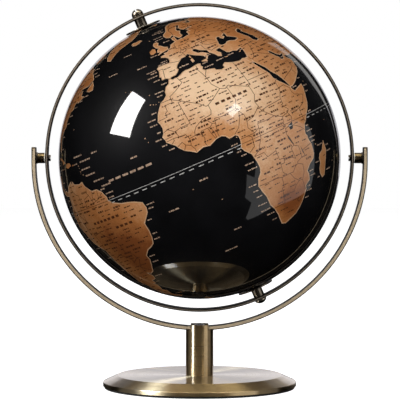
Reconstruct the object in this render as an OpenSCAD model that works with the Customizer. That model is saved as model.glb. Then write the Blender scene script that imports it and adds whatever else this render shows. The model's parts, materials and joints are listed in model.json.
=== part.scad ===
// Desktop globe in a gyro mount: the globe spins on its poles inside a meridian ring,
// and the ring tips over on a left-right axis between the ends of a C-shaped arm.
// Millimetres, +Z up. The origin is the centre of the foot pad's underside, the front
// of the globe faces -Y, and the ring's pivot axis runs along X.

/* [Globe] */
// Outer diameter of the globe
globe_d = 200; // [160:5:240]
// Wall of the two moulded hemispheres
shell_wall = 1.8; // [1.4:0.1:3]
// Lean of the pole axis from the upright, towards -X
axis_tilt = 23.4; // [0:0.1:30]
// Diameter of the flat plates on the poles
pole_plate_d = 26; // [20:1:36]
// Thickness of the pole plates
pole_plate_t = 1; // [0.8:0.1:2]

/* [Meridian ring] */
// Gap from the globe to the inner face of the ring
ring_gap = 7.4; // [6.6:0.1:12]
// Thickness of the ring's band, measured along its radius
ring_t = 2; // [1.5:0.1:3]
// Width of the ring's band, measured across the ring's plane
ring_w = 10; // [9:0.5:14]
// How far the ring is tipped forward, about the pivot axis
ring_lean = 2.5; // [0:0.5:20]

/* [Arm] */
// Gap from the ring to the inner face of the arm
arm_gap = 6.9; // [6.5:0.1:12]
// Thickness of the arm's band
arm_t = 2.5; // [2:0.1:3.5]
// Width of the arm's band, front to back
arm_w = 14; // [10:0.5:14]
// Depth of the arm's arc centre below the pivot axis
arm_drop = 3.2; // [0:0.1:6]
// Height of the arm's cut ends above the pivot axis
arm_rise = 7.7; // [6:0.1:14]
// Rounding of the corners at the arm's cut ends
arm_corner = 2; // [0.5:0.5:4]

/* [Column] */
// Outer diameter of the column
column_d = 19.5; // [18.5:0.5:26]
// Wall of the column's tube
column_wall = 2; // [2:0.1:2.2]
// Height of the column's prongs above the base
column_h = 36; // [30:0.5:80]
// Height of the prongs above the arm's underside
prong_h = 4; // [3.5:0.1:8]
// Clearance between the arm and each prong
slot_play = 0.4; // [0.2:0.1:0.4]

/* [Base] */
// Diameter of the base
base_d = 137.2; // [120:1:180]
// Width of the sloping bevel around the base's flat top, measured on plan
bevel_w = 9.6; // [6:0.2:14]
// Height of the base, with its foot pad
base_h = 9; // [9:0.5:14]
// Height of the upright rim under the bevel
rim_h = 2.8; // [2:0.1:3.5]
// Thickness of the cover's sheet metal
cover_t = 1; // [0.8:0.1:1.2]
// Thickness of the foot pad
pad_t = 1.5; // [1:0.1:2]

/* [Screws] */
// Diameter of the axle screws that the globe spins on
axle_d = 3.8; // [3:0.1:4]
// Diameter of the pivot screws that the ring tips on
pivot_d = 3; // [2.5:0.1:3.2]
// Diameter of the screw that holds the arm on the column
arm_screw_d = 4; // [3:0.5:5]
// Diameter of the bolt that holds the column on the base
base_bolt_d = 5; // [4:0.5:6]

/* [Hidden] */
$fn = 128;

// Fits, each measured on the radius
run_fit = 0.05;     // a shaft that turns in its hole
thread_fit = 0.02;  // a screw in its own thread
loose_fit = 0.2;    // a screw through a clearance hole
end_play = 0.15;    // a face beside a part that turns
cut = 1;            // how far a cutting solid runs past the face that it cuts

// Radii
globe_r = globe_d / 2;
globe_in_r = globe_r - shell_wall;
ring_in_r = globe_r + ring_gap;
ring_out_r = ring_in_r + ring_t;
arm_in_r = ring_out_r + arm_gap;
arm_out_r = arm_in_r + arm_t;
column_r = column_d / 2;
column_bore_r = column_r - column_wall;
base_r = base_d / 2;
axle_r = axle_d / 2;
pivot_r = pivot_d / 2;
arm_screw_r = arm_screw_d / 2;
base_bolt_r = base_bolt_d / 2;

// Heights above the surface that the globe stands on
prong_top_z = base_h + column_h;
arm_bottom_z = prong_top_z - prong_h;
arm_centre_z = arm_bottom_z + arm_out_r;
pivot_z = arm_centre_z + arm_drop;
arm_end_z = pivot_z + arm_rise;

// Column
slot_w = arm_w + 2 * slot_play;
prong_round = 0.5;
plug_h = 11;
head_plug_top_z = arm_bottom_z - 0.1;

// Base
rim_round = 0.8;
ballast_play = 0.2;
pad_inset = 1;
pad_hole_r = 11;
washer_r = 6.5;
washer_t = 1;
washer_top_z = base_h - cover_t - 2.8;
bolt_head_r = 4.75;
bolt_head_h = 2.9;
socket_depth = 1.8;
arm_head_r = 3.8;
arm_head_h = 2.2;

// Pole hardware, as distances from the globe's centre along the pole axis
bush_r = 5;
bush_flange_r = 9;
bush_flange_t = 2.4;
bush_l = 16;
pole_plate_d0 = sqrt(globe_r * globe_r - bush_r * bush_r);
pole_plate_d1 = pole_plate_d0 + pole_plate_t;
thrust_t = 0.5;
thrust_r = 3.5;
thrust_d0 = pole_plate_d1 + end_play;
sleeve_r = 3.95;
sleeve_d0 = thrust_d0 + thrust_t;
sleeve_d1 = sqrt(ring_in_r * ring_in_r - sleeve_r * sleeve_r);
axle_tip_d = pole_plate_d0 - bush_l + 2;
axle_head_r = 4.25;
axle_head_rim = 1;
north_head_h = 5;
south_head_h = 3.2;
axle_slot_w = 1.1;
axle_slot_depth = 1.9;
north_slot_turn = 90;    // end-on to the viewer
south_slot_turn = 0;     // across the view

// Equator joint
joint_half_h = 6;
joint_t = 1.6;
joint_play = 0.05;

// Pivot hardware, as distances from the globe's centre along the pivot axis
pivot_head_r = 2.2;
pivot_head_t = 1.5;
pivot_washer_r = 3.5;
pivot_washer_t = 0.5;
pivot_washer_d = ring_out_r + end_play;
pivot_nut_flats = 7.2;
pivot_nut_chamfer = 0.5;
pivot_nut_t = 1.6;
pivot_nut_d = arm_in_r - pivot_nut_t;
pivot_spacer_r = 3.75;
pivot_spacer_d = pivot_washer_d + pivot_washer_t;
pivot_tip_d = arm_out_r - 0.4;

// Points of an arc of radius r about centre c, from angle a0 to angle a1 in n steps
function arc(c, r, a0, a1, n = 6) =
    [for (i = [0:n]) c + r * [cos(a0 + (a1 - a0) * i / n), sin(a0 + (a1 - a0) * i / n)]];

// A solid turned about Z: a tube from z0 to z1, whose bore may be 0
module turned(outer_r, bore_r, z0, z1) {
    rotate_extrude()
        translate([bore_r, z0])
            square([outer_r - bore_r, z1 - z0]);
}

// A low domed head turned about Z, standing on z0, with an upright rim and a screw's slot
module domed_head(r, rim, h, z0) {
    rise = h - rim;
    dome_r = (r * r + rise * rise) / (2 * rise);
    translate([0, 0, z0])
        rotate_extrude()
            intersection() {
                square([r, h]);
                translate([0, h - dome_r])
                    circle(dome_r);
            }
}

// The ring's frame: centred on the pivot axis and tipped forward with the ring
module ring_frame() {
    translate([0, 0, pivot_z])
        rotate([ring_lean, 0, 0])
            children();
}

// The frame of one pole, pole = 1 north or -1 south, with +Z outward along the pole axis
module pole_frame(pole) {
    ring_frame()
        rotate([0, -axis_tilt, 0])
            rotate([pole > 0 ? 0 : 180, 0, 0])
                children();
}

// The frame of one pivot, side = -1 left or 1 right, with +Z outward along the pivot axis
module pivot_frame(side) {
    translate([0, 0, pivot_z])
        rotate([0, 90 * side, 0])
            children();
}

// ---- Base ----

// Half section of the space inside a skin that lies inset below the base's outer face
module base_section(inset, bottom_z) {
    r = base_r - inset;
    top = base_h - inset;
    flat_r = base_r - bevel_w - inset * 0.5;
    shoulder_z = pad_t + rim_h - inset * 0.5;
    polygon(concat(
        [[0, bottom_z], [r, bottom_z]],
        arc([r - rim_round, shoulder_z - rim_round / 2], rim_round, 0, 60),
        arc([flat_r - rim_round, top - rim_round], rim_round, 60, 90),
        [[0, top]]
    ));
}

module base_cover() {
    color("darkkhaki")
        difference() {
            rotate_extrude()
                base_section(0, pad_t);
            rotate_extrude()
                base_section(cover_t, pad_t - cut);
            cylinder(r = base_bolt_r + loose_fit, h = base_h + cut);
        }
}

module base_ballast() {
    color("dimgray")
        difference() {
            rotate_extrude()
                difference() {
                    base_section(cover_t + ballast_play, pad_t);
                    translate([0, base_h - cover_t - ballast_play])
                        square([base_r, cover_t]);
                }
            translate([0, 0, pad_t - cut])
                cylinder(r = washer_r + loose_fit, h = washer_top_z - pad_t + cut);
            cylinder(r = base_bolt_r + loose_fit, h = base_h + cut);
        }
}

module foot_pad() {
    color("black")
        turned(base_r - pad_inset, pad_hole_r, 0, pad_t);
}

module base_bolt() {
    head_z = washer_top_z - washer_t - bolt_head_h;
    color("silver")
        difference() {
            union() {
                turned(bolt_head_r, 0, head_z, head_z + bolt_head_h);
                turned(base_bolt_r, 0, head_z + bolt_head_h, base_h + plug_h - 2);
            }
            translate([0, 0, head_z - cut])
                cylinder(r = base_bolt_r * 0.8, h = socket_depth + cut, $fn = 6);
        }
}

module base_washer() {
    color("silver")
        turned(washer_r, base_bolt_r + loose_fit, washer_top_z - washer_t, washer_top_z);
}

// ---- Column and arm ----

module column() {
    color("peru")
        difference() {
            rotate_extrude() {
                translate([column_bore_r, base_h])
                    square([column_wall, column_h - prong_round]);
                translate([column_bore_r, base_h])
                    square([column_wall - prong_round, column_h]);
                translate([column_r - prong_round, prong_top_z - prong_round])
                    circle(prong_round);
            }
            translate([0, 0, arm_centre_z])
                rotate([90, 0, 0])
                    cylinder(r = arm_out_r, h = slot_w, center = true);
        }
}

module column_foot_plug() {
    color("gray")
        turned(column_bore_r, base_bolt_r + thread_fit, base_h, base_h + plug_h);
}

module column_head_plug() {
    color("gray")
        turned(column_bore_r, arm_screw_r + thread_fit, head_plug_top_z - plug_h, head_plug_top_z);
}

// Front view of the arm: half a ring below the arc's centre, and a straight leg up each side
module arm_outline() {
    difference() {
        union() {
            circle(arm_out_r);
            translate([-arm_out_r, 0])
                square([2 * arm_out_r, arm_end_z - arm_centre_z]);
        }
        circle(arm_in_r);
        translate([-arm_in_r, 0])
            square([2 * arm_in_r, arm_out_r + cut]);
        translate([-arm_out_r - cut, arm_end_z - arm_centre_z])
            square([2 * (arm_out_r + cut), arm_out_r + cut]);
    }
}

// Side view of the arm's end: what rounds off its two upper corners
module arm_end_corners() {
    for (side = [-1, 1])
        translate([side * (arm_w / 2 - arm_corner), arm_end_z - arm_corner])
            difference() {
                translate([side > 0 ? 0 : -arm_corner - cut, 0])
                    square(arm_corner + cut);
                circle(arm_corner);
            }
}

module arm() {
    color("darkkhaki")
        difference() {
            translate([0, 0, arm_centre_z])
                rotate([90, 0, 0])
                    linear_extrude(arm_w, center = true)
                        arm_outline();
            rotate([90, 0, 90])
                linear_extrude(2 * (arm_out_r + cut), center = true)
                    arm_end_corners();
            translate([0, 0, pivot_z])
                rotate([0, 90, 0])
                    cylinder(r = pivot_r + thread_fit, h = 2 * (arm_out_r + cut), center = true);
            translate([0, 0, arm_bottom_z - cut])
                cylinder(r = arm_screw_r + loose_fit, h = arm_t + 2 * cut);
        }
}

module arm_screw() {
    seat_z = arm_bottom_z + arm_t + 0.05;
    color("dimgray")
        difference() {
            union() {
                domed_head(arm_head_r, 0.6, arm_head_h, seat_z);
                turned(arm_screw_r, 0, head_plug_top_z - plug_h + 2, seat_z + 0.1);
            }
            translate([0, 0, seat_z + arm_head_h - 1.2])
                cylinder(r = 1.5, h = 1.2 + cut, $fn = 6);
        }
}

// ---- Pivots between the arm and the ring ----

module pivot_screw(side) {
    color("dimgray")
        pivot_frame(side)
            difference() {
                union() {
                    turned(pivot_head_r, 0, ring_in_r - end_play - pivot_head_t, ring_in_r - end_play);
                    turned(pivot_r, 0, ring_in_r - end_play, pivot_tip_d);
                }
                translate([-0.3, -pivot_head_r - cut, ring_in_r - end_play - pivot_head_t - cut])
                    cube([0.6, 2 * (pivot_head_r + cut), 0.7 + cut]);
            }
}

module pivot_washer(side) {
    color("ivory")
        pivot_frame(side)
            turned(pivot_washer_r, pivot_r + loose_fit, pivot_washer_d, pivot_spacer_d);
}

module pivot_spacer(side) {
    color("goldenrod")
        pivot_frame(side)
            turned(pivot_spacer_r, pivot_r + thread_fit, pivot_spacer_d, pivot_nut_d);
}

module pivot_nut(side) {
    corner_r = pivot_nut_flats / sqrt(3);
    color("dimgray")
        pivot_frame(side)
            difference() {
                intersection() {
                    translate([0, 0, pivot_nut_d])
                        cylinder(r = corner_r, h = pivot_nut_t, $fn = 6);
                    rotate_extrude()
                        polygon([
                            [0, pivot_nut_d], [corner_r - pivot_nut_chamfer, pivot_nut_d],
                            [corner_r, pivot_nut_d + pivot_nut_chamfer], [corner_r, arm_in_r],
                            [0, arm_in_r]
                        ]);
                }
                translate([0, 0, pivot_nut_d - cut])
                    cylinder(r = pivot_r + thread_fit, h = pivot_nut_t + 2 * cut);
            }
}

// ---- Meridian ring and its axle screws ----

module meridian_ring() {
    color("saddlebrown")
        ring_frame()
            difference() {
                rotate([90, 0, 0])
                    turned(ring_out_r, ring_in_r, -ring_w / 2, ring_w / 2);
                rotate([0, 90, 0])
                    cylinder(r = pivot_r + run_fit, h = 2 * (ring_out_r + cut), center = true);
                rotate([0, -axis_tilt, 0])
                    cylinder(r = axle_r + loose_fit, h = 2 * (ring_out_r + cut), center = true);
            }
}

module axle_screw(pole, head_h, slot_turn) {
    color("dimgray")
        pole_frame(pole)
            difference() {
                union() {
                    domed_head(axle_head_r, axle_head_rim, head_h, ring_out_r);
                    turned(axle_r, 0, axle_tip_d, ring_out_r + 0.1);
                }
                rotate(slot_turn)
                    translate([-axle_head_r - cut, -axle_slot_w / 2, ring_out_r + head_h - axle_slot_depth])
                        cube([2 * (axle_head_r + cut), axle_slot_w, axle_slot_depth + cut]);
            }
}

module axle_sleeve(pole) {
    color("gray")
        pole_frame(pole)
            turned(sleeve_r, axle_r + thread_fit, sleeve_d0, sleeve_d1);
}

module thrust_washer(pole) {
    color("ivory")
        pole_frame(pole)
            turned(thrust_r, axle_r + thread_fit, thrust_d0, sleeve_d0);
}

// ---- Globe ----

// Half section of the ball between two radii, from height z0 to height z1
module ball_section(outer, inner, z0, z1) {
    intersection() {
        difference() {
            circle(outer);
            circle(inner);
        }
        translate([0, z0])
            square([outer, z1 - z0]);
    }
}

module hemisphere(pole) {
    color("black")
        pole_frame(pole)
            difference() {
                rotate_extrude()
                    ball_section(globe_r, globe_in_r, 0, globe_r);
                cylinder(r = bush_r + thread_fit, h = globe_r + cut);
            }
}

module equator_joint_ring() {
    outer = globe_in_r - joint_play;
    color("dimgray")
        pole_frame(1)
            rotate_extrude()
                ball_section(outer, outer - joint_t, -joint_half_h, joint_half_h);
}

module pole_plate(pole) {
    color("gray")
        pole_frame(pole)
            turned(pole_plate_d / 2, axle_r + loose_fit, pole_plate_d0, pole_plate_d1);
}

module pole_bush(pole) {
    flange_top = sqrt(globe_in_r * globe_in_r - bush_flange_r * bush_flange_r) - joint_play;
    color("ivory")
        pole_frame(pole)
            difference() {
                union() {
                    turned(bush_r, 0, pole_plate_d0 - bush_l, pole_plate_d0);
                    turned(bush_flange_r, 0, flange_top - bush_flange_t, flange_top);
                }
                cylinder(r = axle_r + run_fit, h = globe_r + cut);
            }
}

// ---- Parts ----

base_cover();
base_ballast();
foot_pad();
base_bolt();
base_washer();
column();
column_foot_plug();
column_head_plug();
arm();
arm_screw();
pivot_screw(-1);  // left_pivot_screw
pivot_screw(1);  // right_pivot_screw
pivot_spacer(-1);  // left_pivot_spacer
pivot_spacer(1);  // right_pivot_spacer
pivot_nut(-1);  // left_pivot_nut
pivot_nut(1);  // right_pivot_nut
pivot_washer(-1);  // left_pivot_washer
pivot_washer(1);  // right_pivot_washer
meridian_ring();
axle_screw(1, north_head_h, north_slot_turn);  // north_axle_screw
axle_screw(-1, south_head_h, south_slot_turn);  // south_axle_screw
axle_sleeve(1);  // north_axle_sleeve
axle_sleeve(-1);  // south_axle_sleeve
thrust_washer(1);  // north_thrust_washer
thrust_washer(-1);  // south_thrust_washer
hemisphere(1);  // north_hemisphere
hemisphere(-1);  // south_hemisphere
equator_joint_ring();
pole_plate(1);  // north_pole_plate
pole_plate(-1);  // south_pole_plate
pole_bush(1);  // north_pole_bush
pole_bush(-1);  // south_pole_bush
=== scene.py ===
"""Looks of a desktop globe in a gyro mount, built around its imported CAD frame.

The printed ball is modelled here: two half shells whose map is cut into the mesh from coastlines,
borders and label dashes given in degrees of longitude and latitude. The metalwork is the CAD's own,
with its edges eased by modifiers. Lengths are in metres, as in the frame.
"""
import json
import math
import random

import bpy
import numpy as np
from mathutils import Matrix, Vector
from mathutils.geometry import delaunay_2d_cdt

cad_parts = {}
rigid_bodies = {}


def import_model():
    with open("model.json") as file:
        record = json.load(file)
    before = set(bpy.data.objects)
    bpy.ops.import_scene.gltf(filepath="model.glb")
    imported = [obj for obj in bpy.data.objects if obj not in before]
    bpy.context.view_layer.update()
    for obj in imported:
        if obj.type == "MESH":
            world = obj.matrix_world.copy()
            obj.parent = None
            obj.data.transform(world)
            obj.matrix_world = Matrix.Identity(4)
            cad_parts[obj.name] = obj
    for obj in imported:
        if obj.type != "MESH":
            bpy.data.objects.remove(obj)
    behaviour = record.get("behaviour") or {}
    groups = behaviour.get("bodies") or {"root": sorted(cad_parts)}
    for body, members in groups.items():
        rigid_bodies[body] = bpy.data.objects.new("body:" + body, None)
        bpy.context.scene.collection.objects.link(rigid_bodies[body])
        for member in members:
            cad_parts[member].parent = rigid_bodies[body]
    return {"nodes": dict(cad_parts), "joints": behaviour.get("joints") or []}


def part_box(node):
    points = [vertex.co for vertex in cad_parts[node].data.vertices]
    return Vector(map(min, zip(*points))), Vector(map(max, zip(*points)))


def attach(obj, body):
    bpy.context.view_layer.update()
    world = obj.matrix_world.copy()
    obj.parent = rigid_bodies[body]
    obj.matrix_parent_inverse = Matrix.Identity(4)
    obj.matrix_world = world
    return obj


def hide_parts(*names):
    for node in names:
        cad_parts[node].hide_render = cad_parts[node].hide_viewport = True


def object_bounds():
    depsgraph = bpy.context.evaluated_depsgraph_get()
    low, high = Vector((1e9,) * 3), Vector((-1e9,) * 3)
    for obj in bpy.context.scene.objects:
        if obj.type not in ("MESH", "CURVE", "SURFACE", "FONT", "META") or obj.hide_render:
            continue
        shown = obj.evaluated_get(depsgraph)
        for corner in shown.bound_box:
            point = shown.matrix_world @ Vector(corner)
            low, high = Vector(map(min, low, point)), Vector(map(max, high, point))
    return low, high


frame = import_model()
cad_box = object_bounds()

MM = 0.001
random.seed(7)


# ---- Where things are, from the frame ----

def joint(name):
    return next(j for j in frame["joints"] if j["name"] == name)


def corners(node):
    """All vertices of a CAD node, as an array."""
    return np.array([v.co for v in frame["nodes"][node].data.vertices], float)


def new_object(name, data):
    """An object with this data, in the scene."""
    out = bpy.data.objects.new(name, data)
    bpy.context.scene.collection.objects.link(out)
    return out


CENTRE = Vector(joint("globe_spin")["pos_m"])
POLE = Vector(joint("globe_spin")["axis"]).normalized()
GLOBE_R = float(np.linalg.norm(corners("north_hemisphere") - np.array(CENTRE), axis=1).max())
BUSH_R = 5 * MM
SHELL_WALL = 1.8 * MM
ARM_LOW, ARM_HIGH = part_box("arm")
ARM_CENTRE = Vector((0, 0, ARM_LOW.z + (ARM_HIGH.x - ARM_LOW.x) / 2))
RING_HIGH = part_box("meridian_ring")[1]
RING_AXIS = POLE.cross(Vector(joint("ring_tilt")["axis"])).normalized()

# ---- The map: longitude and latitude in degrees, east and north positive ----

WEST_EDGE, EAST_EDGE = -170, 190  # the map is slit down the Pacific
MAP_MIDDLE = (WEST_EDGE + EAST_EDGE) / 2
FACING_LON = -7.3  # the meridian that faces the front
HOLE_LAT = math.degrees(math.acos(BUSH_R / GLOBE_R))  # edge of the hole under each pole plate
GRID_STEP = 3  # spacing of the mesh's own points
FEWEST_IN_ROW = 24  # points in the mesh's shortest rows
LAST_ROW = 84  # latitude of the rows nearest the poles
CAP_STEP = 10  # spacing of the points round each pole's hole
LONGEST_EDGE = 2.4  # longer outline edges are divided, to stay on the ball
SLIT_MARGIN = 0.5  # coasts and ink stop this far from the slit


def points(text):
    """Points from "lon,lat lon,lat ..."."""
    return [tuple(float(v) for v in pair.split(",")) for pair in text.split()]


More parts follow.
